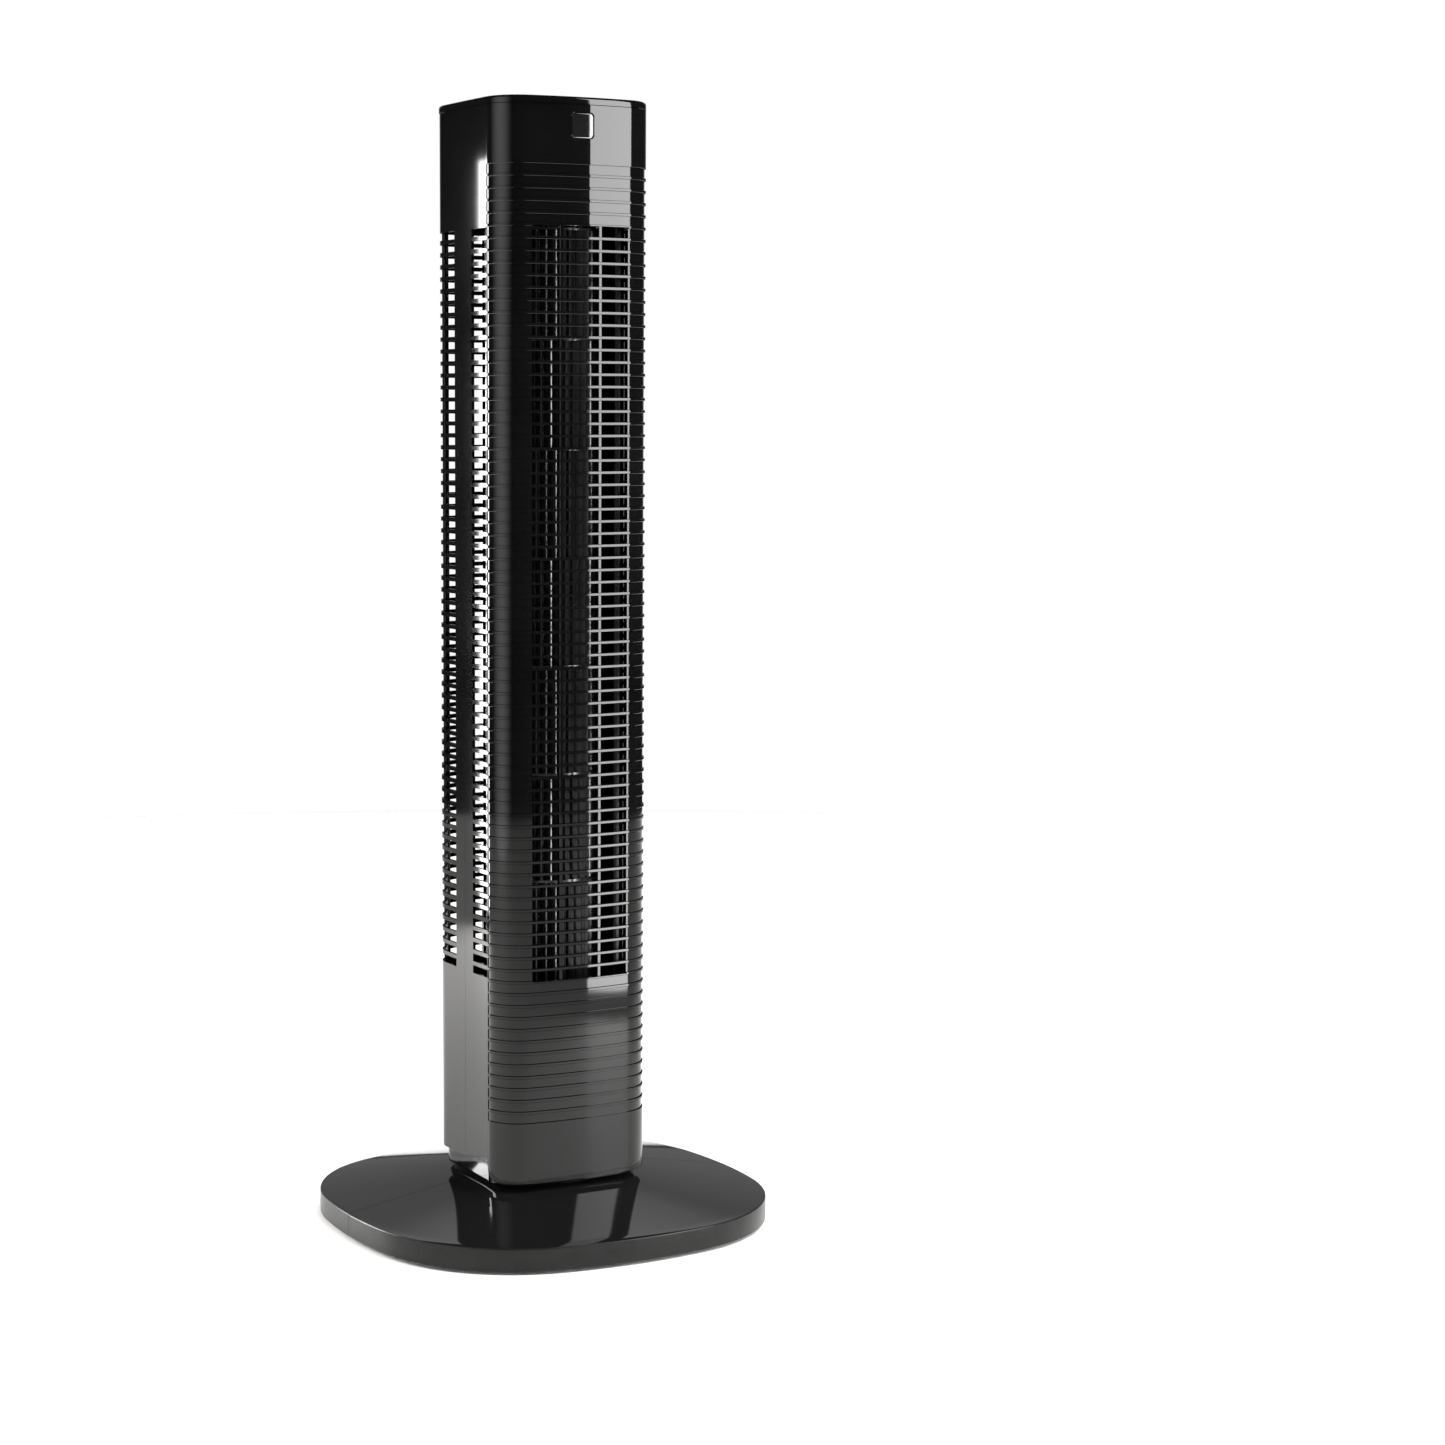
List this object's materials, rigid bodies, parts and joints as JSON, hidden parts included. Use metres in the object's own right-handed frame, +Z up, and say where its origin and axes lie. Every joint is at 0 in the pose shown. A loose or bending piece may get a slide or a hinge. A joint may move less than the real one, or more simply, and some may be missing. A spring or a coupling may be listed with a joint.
{
  "type": "tower fan",
  "caption": "Slim upright tower fan: ribbed rounded-square body with slatted air grilles swinging on a low domed oval base, cross-flow impeller inside.",
  "frame": {"origin": "floor level under the centre of the base", "axes": "+Z up along the tower and its swing axis; the air outlet and display face -Y"},
  "size_m": [0.364, 0.352, 0.94],
  "materials": {
    "gloss_black": "polished injection-moulded ABS",
    "satin_black": "fine-textured ABS",
    "inner_plastic": "matt polypropylene",
    "impeller_plastic": "satin glass-filled AS resin",
    "white_acetal": "natural acetal",
    "plated_steel": "zinc-plated steel",
    "bronze": "sintered bronze",
    "copper_winding": "varnished copper and lamination",
    "soft_rubber": "matt rubber",
    "circuit_board": "solder-masked board",
    "wire_sleeve": "PVC sleeve",
    "display_glass": "smoked acrylic"
  },
  "bodies": {
    "base": {"base_front_half": "gloss_black", "base_rear_half": "gloss_black", "ballast_plate": "plated_steel", "pivot_hub": "inner_plastic", "glide_ring": "white_acetal", "retaining_ring": "plated_steel", "foot_pads": "soft_rubber", "base_screws": "plated_steel", "cord_grommet": "soft_rubber", "fixed_gear": "white_acetal"},
    "tower": {"neck_skirt": "gloss_black", "swing_motor": "plated_steel", "front_grille": "gloss_black", "front_housing": "gloss_black", "rear_housing": "gloss_black", "carry_handle": "satin_black", "motor_deck": "plated_steel", "bearing_plate": "inner_plastic", "bearing_rubber": "soft_rubber", "top_bearing": "bronze", "scroll_guide": "inner_plastic", "vortex_tongue": "inner_plastic", "fan_motor_can": "plated_steel", "fan_motor_stator": "copper_winding", "motor_mounts": "soft_rubber", "power_board": "circuit_board", "wire_harness": "wire_sleeve", "display_lens": "display_glass", "display_board": "circuit_board", "control_board": "circuit_board", "top_cover": "gloss_black", "housing_screws": "plated_steel"},
    "rotor": {"impeller_stage_1": "impeller_plastic", "impeller_stage_2": "impeller_plastic", "impeller_stage_3": "impeller_plastic", "impeller_stage_4": "impeller_plastic", "impeller_stage_5": "impeller_plastic", "impeller_stage_6": "impeller_plastic", "impeller_stage_7": "impeller_plastic", "impeller_hub": "soft_rubber", "impeller_end_disc": "impeller_plastic", "motor_rotor": "plated_steel", "motor_shaft": "plated_steel"},
    "pinion": {"swing_pinion": "white_acetal"},
    "power_key": {"power_button": "satin_black"},
    "swing_key": {"swing_button": "satin_black"},
    "speed_key": {"speed_button": "satin_black"},
    "mode_key": {"mode_button": "satin_black"},
    "timer_key": {"timer_button": "satin_black"}
  },
  "joints": [
    {"name": "tower_swing", "type": "hinge", "parent": "base", "child": "tower", "pos_m": [0, 0, 0.0435], "axis": [0, 0, 1], "range_deg": [-35, 35]},
    {"name": "impeller_spin", "type": "hinge", "parent": "tower", "child": "rotor", "pos_m": [0, 0, 0.205], "axis": [0, 0, 1], "continuous": true},
    {"name": "pinion_spin", "type": "hinge", "parent": "tower", "child": "pinion", "pos_m": [0, 0.0375, 0.062], "axis": [0, 0, 1], "range_deg": [-145, 145]},
    {"name": "power_press", "type": "slide", "parent": "tower", "child": "power_key", "axis": [0, 0, -1], "range_m": [0, 0.0008], "stiffness_N_per_m": 300},
    {"name": "swing_press", "type": "slide", "parent": "tower", "child": "swing_key", "axis": [0, 0, -1], "range_m": [0, 0.0008], "stiffness_N_per_m": 300},
    {"name": "speed_press", "type": "slide", "parent": "tower", "child": "speed_key", "axis": [0, 0, -1], "range_m": [0, 0.0008], "stiffness_N_per_m": 300},
    {"name": "mode_press", "type": "slide", "parent": "tower", "child": "mode_key", "axis": [0, 0, -1], "range_m": [0, 0.0008], "stiffness_N_per_m": 300},
    {"name": "timer_press", "type": "slide", "parent": "tower", "child": "timer_key", "axis": [0, 0, -1], "range_m": [0, 0.0008], "stiffness_N_per_m": 300}
  ],
  "couplings": [
    {"joint": "pinion_spin", "follows": "tower_swing", "ratio": 4}
  ]
}
